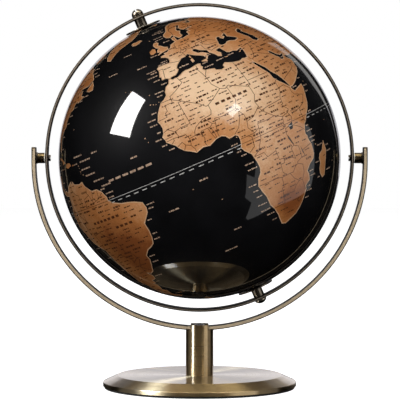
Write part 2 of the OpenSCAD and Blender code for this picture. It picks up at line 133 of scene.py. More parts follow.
LAND = {
    "africa": """-6,35.8 -5.3,35.8 -4.4,35.1 -3,35.3 -1.9,35.1 0,35.8 1.5,36.5 3,36.8 5.2,36.7 7.5,37
    9.8,37.3 11,37 10.5,36 11,35.2 10.1,34.2 11.2,33.2 13.2,32.9 15.3,32.3 15.7,31.4 18,30.5 20,30.9
    20.1,32.2 21.7,32.9 23.2,32.3 25,31.6 29,30.9 31,31.5 32.4,31.2 32.6,29.9 33.6,27.8 35.5,24 37.2,21
    37.3,18.8 39,16.5 41.2,14.6 43.2,12.5 43.3,11.5 44.5,10.4 47,11.1 51.2,11.9 51.1,10.5 49,6.8
    47.9,4.4 46,2.3 43.5,0.3 41.6,-1.7 40.2,-2.7 39.2,-4.7 38.8,-6.4 39.5,-7.2 39.5,-9 40.5,-10.8
    40.7,-14.8 39.8,-16.4 37,-17.9 34.8,-19.9 35.5,-21.5 35.4,-23.8 32.9,-25.4 32.8,-27 31.3,-29.3
    30,-31.3 28,-33.4 26,-35 23,-36.1 19.4,-37.3 17.3,-36.7 16.3,-34 15.8,-31.9 14.4,-28.6 12.8,-26.3
    12.2,-22.7 10.8,-19.6 10,-17.2 10.9,-14.5 12.6,-12.5 13,-10.7 12.8,-8.8 12.1,-6 11.8,-4.6 9.6,-2.4
    8.8,-0.8 9.4,0.4 9.8,2.2 9.7,3.8 8.6,4.6 7.2,4.4 6,4.3 5,5.7 3.5,6.4 1.2,6.1 -1.9,4.8 -4.5,5.3
    -7.5,4.4 -9.3,5.6 -11.5,6.9 -13.2,8.8 -13.7,9.8 -15,10.9 -16.7,12.3 -16.8,13.4 -17.4,14.7
    -16.5,15.8 -16.1,18 -16.4,19.5 -17,21 -16,23.7 -14.8,25.5 -13.2,27.6 -11.5,28.4 -9.8,29.8 -9.7,31.4
    -8.6,33.2 -6.8,34.1""",
    "eurasia": """-5.4,36.1 -6.3,36.7 -7.4,37.2 -8.9,37 -8.8,38.4 -9.5,38.8 -8.8,41 -8.9,42.4 -9.2,43.1
    -8,43.7 -3.8,43.5 -1.8,43.4 -1.2,44.7 -1.2,46.1 -2.5,47.3 -4.6,48 -4.5,48.6 -1.6,48.7 -1.9,49.7
    0.2,49.6 1.6,50.6 3.5,51.5 4.7,53 7,53.5 8.7,54 8.2,55.6 8.3,57 10.6,57.7 10.3,56.2 10,54.6 11,54
    13.7,54.5 14.3,54 18.5,54.7 19.7,54.5 21,55.6 21.2,57 22.6,57.6 24.3,57.2 24.1,58.6 23.5,59.2
    28,59.6 30,59.9 28.5,60.6 25,60.2 22.5,60 21.4,61 21.4,63 25.2,65 24,65.8 22,65.4 21.3,64.4
    17.8,62.6 17.2,61 18.7,60 16.5,58.4 16,56.3 14.3,55.5 12.8,55.5 11.3,58.5 10.5,59.4 8,58.1 5.6,58.9
    5,60.8 6,62.4 10,64 12.5,66.2 15,68.4 19,69.9 25.7,71 31,70.4 33,69.4 41,67.5 40,66.2 34,66.7
    35,64.4 37.5,64 40,64.7 40.2,66 44,66.2 44,68.5 48,67.8 54,68.6 60,68.8 67,68.8 67,72.5 70,73
    73,71.5 73.5,68 75,70 75,72 80,73 87,75.2 98,76.5 104,77.7 113,75.5 108,73.6 114,73.6 127,73 130,71
    140,72.5 152,71 160,69.7 170,70 180,68.9 187,66.8 189.4,66 187.5,64.5 180,64.8 178,62.5 170,60
    163.5,59.8 163,58 162,56 160,53.2 156.7,51 155.7,55 156,57.5 161.5,60.5 164,62.4 160,61.8 155,59.3
    143,59.3 137,54.5 141,53 140.4,50 140,46.5 135.5,43.8 132,43.2 130,42 127.5,39.8 129.4,37 129,35.2
    126.5,34.5 126.5,37 125,38 124.5,40 121.5,39 122,40.8 118,39 119,37.3 122.5,37.2 119.2,35
    121.8,31.8 121.8,29.5 119.5,25.8 116.5,23 113.5,22.2 110,20.8 108.5,21.7 106,19.5 108.8,15.5
    109.3,12 107,10.4 105,8.7 104.9,10.3 102.5,12 100.7,13.4 99.5,11 100.5,7.5 103.4,4 104,1.4 101.3,3
    100.3,6 98.3,8.2 98.6,12 97.5,16.5 94.3,16 94.3,18.7 92,21.5 90.5,22.5 87,21.3 85,19.5 82.3,16.7
    80.2,15.5 80.2,13 79.8,10.3 78,8.1 76.3,10 74.8,13 73,17.5 72.7,21 71,20.8 69,22.3 67.3,24.5
    66.5,25.4 61.5,25.1 57.3,25.6 56.5,27 54,26.6 51.5,27.9 50,30 48.5,30 48,29.3 50,26.7 51.2,26
    51.5,24.4 54,24.2 56.1,26 56.7,24.3 59.8,22.5 58,20 57.5,18.9 55,17 52,15.7 48.5,14 45,12.8
    43.4,12.8 42.7,15.5 42,17 40.8,19.5 39,21.5 38,24 36.5,26 35,28 34.7,29.4 34.4,28 33.2,28.8
    32.6,29.9 32.4,31.2 34.2,31.3 35,33 36,35 36,36.8 34,36.4 32.5,36.1 30.6,36.8 28.2,36.8 27.2,37.3
    26.5,39 26.2,40.1 26,40.8 23.8,40.5 22.7,40.4 23.2,39 24,38 23,36.5 21.7,37 21.2,38.3 19.4,40.5
    19.4,42 16,43.6 14.9,45 13.7,45.5 12.4,45.2 12.4,44.2 14,42.3 16,41.9 18.4,40 17,40.5 16.9,39
    15.8,38 16,39.6 14.5,40.7 12.3,41.8 10.5,43 8.8,44.4 7,43.5 4.5,43.4 3.1,42.4 0.8,41 -0.3,39.5
    0.1,38.7 -0.8,37.7 -2.2,36.8 -4.5,36.7""",
    "north_america": """-168,65.7 -162,66.5 -166.5,68.4 -156.5,71.3 -141,69.6 -128,70.3 -115,68.5
    -108,68 -95,68 -94,71.5 -90,69 -85,69.5 -82,67.5 -87,64.5 -94,61.5 -94.5,58.8 -92.5,57 -85,55.3
    -82.3,53 -80,51.3 -78.8,52 -79.5,54.7 -76.7,57 -78,60 -77.5,62.4 -73.5,62.3 -69.5,60.9 -69.5,58.8
    -65,60 -62,57 -58,54.7 -55.8,52.6 -60,50.2 -66.5,50.2 -70,47 -65,49 -64.5,46.3 -61,45.7 -64,44.5
    -66,43.6 -67,44.8 -70,43.6 -70.7,42 -70,41.7 -74,40.6 -76,37 -75.6,35.3 -78,34 -81,32 -81.3,30
    -80,26.8 -80.4,25.2 -82,27 -83,29.5 -85.3,29.7 -89.5,30.2 -90,29.1 -94,29.5 -97.2,27.7 -97.8,22.5
    -96,19 -94.5,18.2 -92,18.6 -90.5,20.8 -87,21.5 -88,18.3 -88.7,15.8 -84,15.8 -83.3,14.8 -83.8,11
    -81.5,9 -79.8,9.5 -77.3,8.6 -77.5,7.2 -80,7.4 -83,8.3 -85.7,10 -87.5,12.8 -92,14.5 -96.5,15.7
    -101.5,17.6 -105.5,20.3 -105.7,22.5 -109,25.8 -112.8,30 -114.8,31.7 -114.5,30.3 -111,25.5
    -109.5,23.1 -112,25 -115,28.5 -117,32.5 -120.6,34.6 -122.5,37.5 -124.3,40.5 -124,46 -124.7,48.3
    -122.5,48.5 -128,51 -130,54.5 -135,58.5 -145,60.3 -151,59.5 -154,58.8 -160,55.5 -164.5,54.6
    -158,57.5 -162,58.7 -165.5,61 -161,64 -166,64.5""",
    "south_america": """-77.3,8.6 -75.5,10.7 -71.5,12.3 -71.3,11 -70,12.1 -68.3,10.8 -64,10.2 -62,10.7
    -60.5,8.6 -57,6 -54,5.9 -51.5,4.3 -50,1.7 -50,0.3 -48.3,-1 -44.5,-2.5 -41.5,-3 -38.5,-3.8
    -35.3,-5.2 -34.8,-7.5 -35.3,-9.3 -37.2,-11.3 -39,-13 -39,-16.5 -39.7,-19.6 -41,-22 -43,-23
    -45.5,-23.8 -48.5,-26 -48.7,-28.3 -50.5,-30.8 -53.5,-34 -56,-34.9 -58.3,-34 -57,-36.3 -58,-38.2
    -62,-39 -62.3,-41 -65,-41 -63.8,-42.5 -65.3,-44.5 -67.5,-46 -65.8,-47.8 -69,-51 -68.4,-52.4
    -65.2,-54.7 -69,-55.3 -72,-54 -74.5,-50.5 -75.5,-46.8 -73,-42 -73.6,-37.5 -71.5,-32.5 -70.5,-26
    -70.3,-18.4 -76,-14 -79,-8.3 -81.2,-5.5 -80,-2.8 -80.8,-1 -79.8,0.9 -78.5,2 -77.3,4 -77.5,7.2""",
    "australia": """113.6,-22 114,-26 115.7,-31.8 115.2,-34.3 118,-35 123.5,-33.9 126,-32.3 131,-31.5
    135.5,-34.8 137.8,-33 138.2,-35.6 140.8,-38 144.5,-38.2 146.3,-39 150,-37.4 152.5,-32.5 153.5,-28.5
    153,-25.3 149.5,-22 146.3,-19 145.4,-15 143.7,-14.4 142.5,-10.8 141,-13.5 140.8,-17.5 139,-17.5
    135.6,-15 136.8,-12.2 132.5,-11.5 129.7,-14.9 128,-14.8 125,-14.6 122.3,-18 119,-20""",
    "greenland": """-73,78.2 -68,76 -58,75.2 -54.5,70.5 -53.5,67 -51.5,63.8 -48,61 -43.5,60 -42.5,62.5
    -39.5,65.5 -32,68 -25,70.2 -22,72 -19.5,75 -18,78 -20,80.2 -12,81.5 -30,83.6 -45,82.6 -60,82
    -67,80.5""",
    "britain": """-5.7,50.1 -3,50.7 1.4,51.2 1.7,52.7 0,53.4 -1.5,55 -3.3,56.2 -2,57.6 -3,58.6 -5,58.6
    -5.8,57 -4.8,54.8 -3,54 -4.5,53.2 -5.2,51.8 -3,51.4""",
    "ireland": "-6.1,52.3 -6,54.5 -7.5,55.3 -10,54 -9.8,52 -8.5,51.6",
    "iceland": "-22.7,63.9 -18.5,63.4 -13.6,65 -16,66.4 -20,66 -22.5,66.4 -24.3,65.6 -22,64.4",
    "svalbard": "15,76.7 21,78.5 27,80 17,80 11,79.3",
    "novaya_zemlya": "52,71 56,73.5 68,76.8 60,76 55.5,74.6 51.8,72",
    "sicily": "12.5,38 15.6,38.2 15.1,36.7 12.7,37.5",
    "sardinia": "8.4,39 9.7,39.3 9.5,41.2 8.2,40.7",
    "corsica": "8.6,42.5 9.4,43 9.4,41.5 8.8,41.6",
    "crete": "23.6,35.5 26.2,35.3 24.8,34.9",
    "cyprus": "32.4,34.8 34.4,35.6 33.8,34.9",
    "madagascar": """49.3,-12 50.3,-15.6 49.5,-17.5 48,-21.5 47,-25 45,-25.5 43.6,-23.5 43.4,-21.5
    44.4,-19.8 44,-17.5 45,-16 47,-15.2 48.5,-13.2""",
    "sri_lanka": "80,9.5 81.8,7.5 80.5,6 79.8,7.6",
    "newfoundland": "-59.2,47.7 -56,46.9 -53,47 -53.5,49.3 -55.8,51.5",
    "baffin": "-64.5,63.5 -68,62.8 -74,64.5 -73,67.5 -79,70 -89,71.5 -81,73.7 -72,71.5 -62,66.8",
    "victoria_island": "-105,69 -117,69.5 -118,72.5 -105,73",
    "banks_island": "-123,71.3 -118,75 -124.5,74.2",
    "devon_island": "-80,74.7 -80,75.6 -92,76.3 -92,74.8",
    "ellesmere": "-79,76.5 -89,76.7 -95,80.5 -85,82.3 -62,82.6 -75,79.5",
    "southampton": "-81,64 -86.5,65.8 -86,63.7",
    "cuba": "-84.9,21.9 -82,23 -79,22.5 -74.3,20.2 -77.6,19.9 -78.5,21.2 -82,22.3",
    "hispaniola": "-74.4,18.5 -73,19.9 -69.8,19.7 -68.4,18.5 -71.5,17.8",
    "jamaica": "-78.3,18.4 -76.3,18.1 -77.2,17.7",
    "puerto_rico": "-67.2,18.5 -65.7,18.4 -66.5,17.9",
    "japan": """131,31.3 132,33 135.7,33.5 139.8,35 141,38 141.4,41.3 140,41 139,38 136.5,37 132.5,35.3
    130.3,33.5""",
    "hokkaido": "140,42 143.2,42 145.3,43.5 142,45.4 141.3,43.2",
    "sakhalin": "142,46.5 143.5,49 142.8,54 142,50",
    "taiwan": "120.2,23 121,22 121.8,25 120.8,24.5",
    "luzon": "120.5,14 124,12.7 121.8,16.5 122,18.4 120.4,17.5",
    "mindanao": "122.2,7 125.5,6 126.3,8 125,9.5 123.3,8.4",
    "sumatra": "95.4,5.6 98,4 103.5,-1 106,-3.5 105.5,-5.8 102.3,-4 99,0.5",
    "java": "105.3,-6.7 108.5,-6.6 112.6,-7 114.4,-7.8 111,-8.3 106.5,-7.5",
    "borneo": "109,1 111.5,2.8 115,5.2 117,7 119,5.2 117.8,1 116,-3.8 114.6,-4 110.3,-2.8",
    "sulawesi": "119,-3 120,1 123.5,1.3 121,0.4 121,-1 123,-4.5 121,-3 120.3,-5.5",
    "new_guinea": """131,-1 134,-1 135,-3.3 138,-1.7 144,-3.8 147.5,-6 150.5,-10.5 147,-9.5 144,-7.8
    141,-9.1 138.5,-8.2 138,-5.5 133,-4""",
    "tasmania": "144.7,-40.8 148.3,-41 147,-43.5 145.4,-42.6",
    "new_zealand_north": "173,-34.6 175,-36.5 178.5,-37.8 176.5,-40.5 175,-41.5 175,-39.7 174,-39.2",
    "new_zealand_south": "172.8,-40.7 174.2,-41.8 171,-44.5 169,-46.6 166.6,-46 170.5,-43",
    "falklands": "-61,-51.5 -57.8,-51.6 -59.5,-52.3",
}
# From edge to edge of the map
ANTARCTIC_COAST = """-170,-78.3 -158,-78 -148,-76 -130,-74 -110,-74.5 -100,-73 -80,-73.5 -68,-73 -67,-68
    -60,-63.8 -57,-63.5 -61,-68 -62,-74 -60,-78 -45,-82 -35,-84 -26,-85 -12,-85.5 0,-86 20,-86 35,-85
    50,-82 60,-76 70,-71 80,-67.5 100,-66 115,-66.8 135,-66 150,-68.5 165,-71 163,-77 175,-78 190,-78.3"""

INLAND_WATER = {
    "black_sea": """28,41.5 29.2,41.2 31.3,41.3 33.3,42 35,42 38,41 41.5,41.5 41.5,42.5 39,44 37.5,44.8
    39,47 38,47.2 35,46.2 35.6,45.3 33.6,44.5 32.6,45.4 33.5,46.1 31.5,46.7 30,45.9 28.7,44 27.7,42.6""",
    "marmara": "26.9,40.4 29,40.4 28.9,41 27.5,40.9",
    "caspian": """47,44.8 49,46.3 53,46.9 53,45 51,44.5 52.5,42.5 52.7,41.5 53.8,40 54,37.3 51,36.7
    49,37.8 49.3,40.3 47.6,42.8""",
    "aral": "58.5,45 61,46.3 60,44",
    "ladoga": "31,60 32.8,60.8 31,61.5 30.2,60.9",
    "baikal": "104,51.6 107,52.6 109.5,55.5 108.5,53.5",
    "chad": "13.4,13 14.4,12.9 14.2,13.7",
    "victoria": "31.7,-0.5 33.8,0.3 34.2,-1 33,-2.4 31.8,-2.3",
    "tanganyika": "29.2,-3.4 29.9,-4.5 31.1,-8.5 30.3,-7.5 29.2,-5",
    "malawi": "34,-9.7 34.9,-12 35.1,-14 34.3,-12",
    "turkana": "35.9,4.4 36.5,3 36.2,2.6",
    "nile_reservoir": "32.6,23.8 33,23.4 31.7,22",
    "superior": "-92,46.8 -88.5,48.8 -84.7,47 -87.5,46.5",
    "michigan": "-87.8,42 -86.3,42 -85.3,45.5 -87.5,45",
    "huron": "-84,46 -80.3,45.3 -81.7,43.3 -83.5,44",
    "erie": "-83.2,41.8 -79,42.8 -81.5,41.7",
    "great_bear": "-124,66 -118,66.5 -121,65.2",
    "great_slave": "-117,61 -110,62.7 -114,61",
    "winnipeg": "-97,50.7 -96.3,52 -98.8,53.8 -98,52",
}
ISLETS = """-16.6,28.3 -15.5,28 -17.9,28.7 -14,28.4 -17,32.8 -25.6,37.8 -28.4,38.6 -24.4,17 -23.6,15.1
    8.7,3.5 6.6,0.2 -14.4,-8 -5.7,-16 -61,14.7 -61,13.9 -61.5,16.2 -59.6,13.2 -62,17.2 -61.4,10.4
    -64.8,32.3 55.5,-21.1 57.5,-20.2 43.4,-11.7 55.4,-4.7 54,12.5 73.4,3 3,39.6 -7,62 -155.5,19.6
    -158,21.4 178,-17.8 165.5,-21.3 160,-9.5 152,-4.5 -91,-0.6 -26,68.9"""
ISLET_R, ISLET_SIDES = 0.26, 6

# One border after another, with a semicolon between them
BORDERS = """-2.2,35 -1.2,32.3 -5.5,30 -8.7,28.7 -8.7,26 -12,26 -12,23.5 -13,23 -13,21.3 -17,21.1;
    -13.2,27.6 -8.7,27.6; -8.7,27.3 -4.8,25 1.2,21.1 3.2,19.1 4.2,19.2 7.5,20.9 12,23.5 14.2,22.6 16,23.4
    24,19.5; -4.8,25 -6.5,25 -5.5,16.3 -5.4,15.5 -9.5,15.4 -12.2,14.8 -14.5,16.6 -16.4,16.2; -12.2,14.8
    -11.4,12.4 -13.7,12.6 -16.6,12.4; -16.7,13.5 -13.9,13.5; -13.7,12.6 -13.7,11.7 -15,10.9; -11.4,12.4
    -8.8,12.2 -8.3,11 -8,10.2 -8.2,8.2 -8.5,7.6 -7.5,5.8 -7.5,4.5; -13.2,9.1 -11.2,10 -10.3,8.5
    -11.4,6.9; -10.3,8.5 -8.5,7.6; -8,10.2 -5.5,10.4 -2.8,9.6 -2.6,8 -3.2,6.3 -2.9,5.1; -5.5,10.4
    -5.2,11.8 -3.8,13.4 -0.5,15 0.2,15 2.4,12 3.6,11.7; -2.8,9.6 -2.8,11 0,11.1 0.9,11 2.4,12; 0,11.1
    0.5,8.5 1.2,6.2; 0.9,11 1.6,9 1.7,6.3; 3.6,11.7 2.7,8 2.7,6.4; 0.2,15 3.5,15.4 4.2,16.8 4.2,19.2;
    3.6,11.7 4.1,13.5 7,13 10,13.3 13.6,13.7 15.5,17 15,23 14.2,22.6; 24,20 24,15.7 22.3,13 22.8,11 23,9
    27.3,5.1 30.8,3.5; 25,31.6 25,22 37,22; 24,20 25,20 25,22; 11.5,33.1 10.5,32 9.5,30.3 9.9,26.5
    12,23.5; 8.6,36.9 8.2,34.7 9.1,32.2 9.5,30.3; 13.6,13.7 14.2,12.4 13.2,9.8 11.2,6.6 8.6,4.8;
    14.2,12.4 15.5,10 15.3,7.4 18.5,8 22.8,11; 15.3,7.4 14.5,5 16.2,2.2 13.2,2.2 9.8,2.2; 16.2,2.2
    18.6,3.5 19,5 23,4.8 27.3,5.1; 18.6,3.5 17.7,-0.5 16.2,-2.5 15,-4.5 12.5,-5.8; 13.2,2.2 14.4,1.3
    13.9,-2.4 11.1,-3.9; 12.4,-6 16.6,-6 17.5,-8.1 21.8,-7.3 22,-11 24,-11.2 24,-13 22,-13 22,-16.2
    23.3,-17.6; 10,-17.3 14,-17.4 18.5,-17.4 21.4,-18 25.2,-17.8; 21,-18 21,-22 20,-22 20,-28.4
    14.4,-28.6; 20,-25 23,-25.3 25.7,-25.5 27,-23.7 29.4,-22.2 31.3,-22.4 32.8,-20 32.9,-16.7 30.4,-15.6
    28.9,-16 27,-17.9 25.2,-17.8; 25.2,-17.8 27,-20.5 29.4,-22.2; 31.3,-22.4 32,-25.5 32.8,-26.8;
    27.1,-29.6 29,-28.7 29.3,-29.8 28,-30.6 27.1,-29.6; 24,-11.2 28,-12.3 29.8,-13.3 29,-9 30.7,-8.3
    33,-9.4 33.3,-13.8 30.3,-15 30.4,-15.6; 34.6,-11.5 40.4,-10.5; 29.6,-1.3 30.8,-1 34,-1 37.5,-3
    39.2,-4.6; 30.8,3.5 29.7,0.5 29.6,-1.3 29.2,-3.4; 34,-1 34,0.2 35,2 34,4.2; 30.8,3.5 34,4.2 35.3,5.2
    33,7.8 34,8 34.3,10.5 36.2,12.8 36.5,14.3 40,14.5 42.4,12.5 42,10.8 43,9.4 47.9,8 45,5 42,4 39.5,3.5
    36,4.4; 23,9 27,9.5 32,9.8 34,10; 42,4 41,3 41,-1 41.6,-1.7; 36.5,14.3 37,17 38.6,18; 42.8,16.5
    45,17.3 48,18 52,19 55,20 55.2,22.7 52.5,23; 52,19 53,16.7; 35,29.5 37,30 39,32 42,31 46.5,29
    48.4,28.5; 39,32 41,34.5 42.4,37.2; 48.5,30 46,33 45.3,36 44.7,37.2 42.4,37.2 36.7,36.7; 34.3,31.3
    35,29.5; 44.7,37.2 44.4,39.7 41.5,41.5; 54,37.3 57.5,38 61,36.5 61,31.5 61.6,25.2; 48.9,38.4 46,39
    44.4,39.7; -8.9,42 -6.6,41.9 -7,40 -7.3,38.3 -7.4,37.2; -1.8,43.4 0.7,42.8 3.1,42.4; 7.5,43.8 7,45.9
    6,46.3 7.6,47.6 8.2,49 6,49.5 2.5,51.1; 7,45.9 9,46 10.5,46.8 13.7,46.5 13.7,45.6; 7.6,47.6 10,47.5
    13,47.6 13.7,48.8 12.2,50.3 15,51 14.2,53.9; 6,49.5 6,51.8 7.1,53.3; 15,51 18.8,49.5 22.6,49.2
    23.6,51.5 23.5,54 19.7,54.4; 13.7,46.5 16.5,46.6 17.2,48 22,48.2 20.3,46.1 22.5,44.5 28.5,43.8;
    16,46.4 19,45.9 19,43 20.5,42 21,41 23,41.3 26.3,41.7; 22.6,49.2 24.9,47.8 28.2,45.4; 23.6,51.5 31,52
    35.3,50.5 40,49.5 38.2,47.2; 23.5,54 26.5,55.5 28,56.2 27.5,59.4; 28,56.2 31,54 31,52; 28,60.6
    31.5,62.8 29.5,66 28.5,68.9 30,69.7; 11.3,59 12.3,61.5 12.1,63.5 16,67 20.5,69 25.5,69.8 28.5,68.9;
    49,46.3 47,49.5 51,51.5 61,51 61,54 71,54.3 80,50.8 87.3,49.2 97,50 108,49.4 116,49.8 120,53.2
    126,52.5 131,47.8 135,48.4 131,43; 87.5,49 91,45.2 96,42.8 105,41.6 112,43.6 119.7,46.6 116,49.8;
    87.3,49.2 82.5,45.3 80,42.5 73.5,39.5 78,35.5 79,32 81,30.3 88,28 92,27.8 97,28.3 98.6,24 101,21.3
    106,22.9 108,21.6; 68.2,23.7 71,27.8 74.5,31 74,34.3 78,35.5; 61,29.8 66.3,30 70,33.5 71.3,36.5
    66,37.4 61,36.5; 99,10.5 98.5,15.5 97.5,18.5 101,21.3; 102.5,12 105,14.3 107.5,15 105,19 102,22.5;
    129,-14.8 129,-31.7; 138,-16.7 138,-26 141,-26 141,-38; 129,-26 138,-26; 141,-29 153.3,-28.4; -123,49
    -95,49 -88,48.2 -82.5,45.3 -79,43.3 -75,45 -71.5,45 -69,47.3 -67,45; -141,69.6 -141,60.3 -135,59.5
    -130,55.5; -117,32.5 -108.2,31.5 -106.5,31.8 -102,29.5 -99.5,27.5 -97.2,26; -51.7,4.1 -54.5,2.4
    -58.5,1.5 -60,5 -64,4 -64,1.5 -67,1.2 -69.8,1.7 -69.9,-4.2 -73,-6 -72.8,-9.5 -70.6,-9.5 -69.5,-11
    -65.4,-10.3 -60.2,-13.7 -60.1,-16.2 -58.3,-16.5 -57.6,-18.5 -58,-20.2 -57.9,-22.1 -55.7,-22.4
    -54.3,-24.2 -54.6,-25.6 -53.8,-26.5 -57.6,-30.2 -53.5,-33.7; -57.2,6 -58,3.5 -56.5,1.9; -54,5.8
    -54.5,2.4; -60,8.3 -61,6 -60,5; -71.6,11.6 -72.5,9 -70,7 -67.5,6.2 -67,1.2; -78.8,1.4 -75.3,-0.1
    -70,-4.2; -80.3,-3.5 -78.4,-4.8 -75.3,-0.1; -70.3,-18.3 -69,-15 -69.5,-11; -69.5,-17.5 -68,-21.5
    -67,-22.9 -68.5,-27 -70,-31 -70.3,-36 -71.7,-42 -72,-48 -72,-52 -68.5,-52.3; -67,-22.9 -62.7,-22
    -57.8,-25.2 -58.5,-27.3 -54.6,-25.6; -57.6,-30.2 -58.2,-34"""


def lon_per_lat(lat):
    """How many degrees of longitude are as long as one of latitude, kept finite at the poles."""
    return 1 / max(0.05, math.cos(math.radians(lat)))


def divided(line):
    """The same line with no edge longer than LONGEST_EDGE."""
    out = [line[0]]
    for (x0, y0), (x1, y1) in zip(line, line[1:]):
        n = max(1, math.ceil(max(abs(x1 - x0), abs(y1 - y0)) / LONGEST_EDGE))
        out += [(x0 + (x1 - x0) * i / n, y0 + (y1 - y0) * i / n) for i in range(1, n + 1)]
    return out


def closed(line):
    return line + line[:1]


def signed_area(outline):
    return sum(x0 * y1 - x1 * y0 for (x0, y0), (x1, y1) in zip(outline, closed(outline)[1:])) / 2


def strip(line, width):
    """One four-cornered outline along each edge of a line, width degrees of latitude wide.

    Each runs on past both ends of its edge by half the width, so that corners are filled.
    """
    half, out = width / 2, []
    for (x0, y0), (x1, y1) in zip(line, line[1:]):
        ratio = lon_per_lat((y0 + y1) / 2)
        dx, dy = (x1 - x0) / ratio, y1 - y0
        length = math.hypot(dx, dy)
        ux, uy = dx / length, dy / length

        def corner(x, y, ahead, side):
            return (x + (ux * ahead - uy * side * half) * ratio, y + uy * ahead + ux * side * half)

        out.append([corner(x0, y0, -half, 1), corner(x0, y0, -half, -1),
                    corner(x1, y1, half, -1), corner(x1, y1, half, 1)])
    return out


def bar(west, east, lat, height):
    """A level bar between two longitudes."""
    low, high = lat - height / 2, lat + height / 2
    return [(west, low), (east, low), (east, high), (west, high)]


def dash(lon, lat, length, height):
    """A level bar starting at a point; length and height are in degrees of latitude."""
    return bar(lon, lon + length * lon_per_lat(lat), lat, height)


def inside(x, y, outline):
    """Whether a place is inside an outline; x and y are numbers, or arrays for many places."""
    hit = False
    for (x0, y0), (x1, y1) in zip(outline, closed(outline)[1:]):
        if y0 != y1:
            hit = hit ^ (((y0 > y) != (y1 > y)) & (x < x0 + (y - y0) / (y1 - y0) * (x1 - x0)))
    return hit


def is_land(x, y, masses):
    """Whether a place is in one of the land masses and in no inland water."""
    dry = wet = False
    for outline in masses:
        dry = dry | inside(x, y, outline)
    for outline in water.values():
        wet = wet | inside(x, y, outline)
    return dry > wet


land = {name: points(text) for name, text in LAND.items()}
water = {name: points(text) for name, text in INLAND_WATER.items()}
antarctic_coast = points(ANTARCTIC_COAST)
antarctica = antarctic_coast + [(EAST_EDGE, -90), (WEST_EDGE, -90)]
for i, (x, y) in enumerate(points(ISLETS)):
    r = ISLET_R * random.uniform(0.6, 1.1)
    land[f"islet_{i}"] = [(x + r * math.cos(a) * lon_per_lat(y), y + r * math.sin(a))
                          for a in (k * math.tau / ISLET_SIDES for k in range(ISLET_SIDES))]


# ---- Labels: plain dashes where names would be printed; sizes in degrees of latitude ----

COAST_LABEL_H, SEA_LABEL_H, LAND_LABEL_H, LARGE_LABEL_H = 0.45, 0.55, 0.42, 0.75
SHORTEST_PIECE, PIECE_GAP = 0.25, 0.28  # of the pieces that a label is broken into
LABEL_LATS = np.arange(-52, 71, 1.9)  # rows of labels on land
COAST_LABEL_GAP = 1.05  # between labels beside a coast
COAST_LABEL_REACH = 5.5  # labels that start further apart than this never touch
LAST_COAST_LABEL = 72  # none nearer the poles

# Rows of dashes for the largest names: longitude and latitude of the first, and how many
CONTINENT_NAMES = [(-65, -6.3, 7), (-53, -10.6, 4), (7, 18.4, 6), (-112, 46, 7), (80, 46, 5),
                   (122, -24, 5), (16, 49.5, 4)]
OCEAN_NAMES = [(-46, 7.2, 6), (70, -14, 5), (-150, 5, 6), (-140, -20, 6), (150, 24, 5), (85, -34, 5),
               (-120, -42, 5)]
# Length and height of one dash, and the gap to the next
CONTINENT_DASH, CONTINENT_DASH_H, CONTINENT_GAP = 1.6, 1.0, 0.9
OCEAN_DASH, OCEAN_DASH_H, OCEAN_GAP = 2.6, 0.8, 1.0

# Labels in the open sea: longitude, latitude, length
SEA_MARKS = [(-27, -12.5, 4.6), (-11, -6, 3.4), (-14, -38, 5), (-6, -30, 3), (-37, 24, 3), (-52, 20, 3.4),
             (-20, 47, 4), (-40, 50, 4), (-3, 66, 4), (-30, 58, 3.5), (-33, 12, 3), (-65, 21, 6),
             (-60.5, 18.4, 7), (-60, 15.2, 6), (-58, 12.4, 6), (-54, 9.2, 6), (-50.5, 6.4, 5)]

EQUATOR_LINE = (0.35, 0.2)  # latitude and height of the whole line
EQUATOR_DASHES = (-0.85, 0.34)  # latitude and height of the dashed line under it
EQUATOR_DASH, EQUATOR_PERIOD = 2.1, 4


def broken_dash(lon, lat, length, height):
    """A label: a bar broken into a few short pieces, standing for a printed name."""
    out, x = [], 0
    while x < length:
        piece = min(random.uniform(0.5, 1.6), length - x)
        if piece > SHORTEST_PIECE:
            out.append(dash(lon + x * lon_per_lat(lat), lat, piece, height))
        x += piece + PIECE_GAP
    return out


def dash_row(lon, lat, number, length, height, gap):
    step = (length + gap) * lon_per_lat(lat)
    return [dash(lon + i * step, lat, length, height) for i in range(number)]


def by_continent_name(lon, lat):
    """True where a small label would run into one of the largest."""
    for x, y, number in CONTINENT_NAMES:
        end = x + number * (CONTINENT_DASH + CONTINENT_GAP) * lon_per_lat(y)
        if abs(lat - y) < 1.5 and x - 5 < lon < end + 0.5:
            return True
    return False


def places_round(lon, lat, width, beyond, aside):
    """Six places round a label: past its ends by a share of its width, and above and below it."""
    return [(lon + width * t, lat + s) for t in (-beyond, 0.5, 1 + beyond) for s in (-aside, aside)]


def land_labels():
    """Rows of labels over all the land, none across a coast."""
    out = []
    for lon, lat, number in CONTINENT_NAMES:
        out += dash_row(lon, lat, number, CONTINENT_DASH, CONTINENT_DASH_H, CONTINENT_GAP)
    for lat in LABEL_LATS:
        lon = WEST_EDGE + random.uniform(2, 6)
        while lon < EAST_EDGE - 8:
            large = random.random() < 0.22
            length = random.uniform(2.6, 5) if large else random.uniform(1.4, 3.6)
            y = lat + random.uniform(-0.5, 0.5)
            near = places_round(lon, y, length * lon_per_lat(lat), 0.1, 0.7)
            if (random.random() < 0.85 and all(is_land(*p, land.values()) for p in near)
                    and not by_continent_name(lon, y)):
                out += broken_dash(lon, y, length, LARGE_LABEL_H if large else LAND_LABEL_H)
            lon += (length + random.uniform(0.8, 2.8)) * lon_per_lat(lat)
    return out


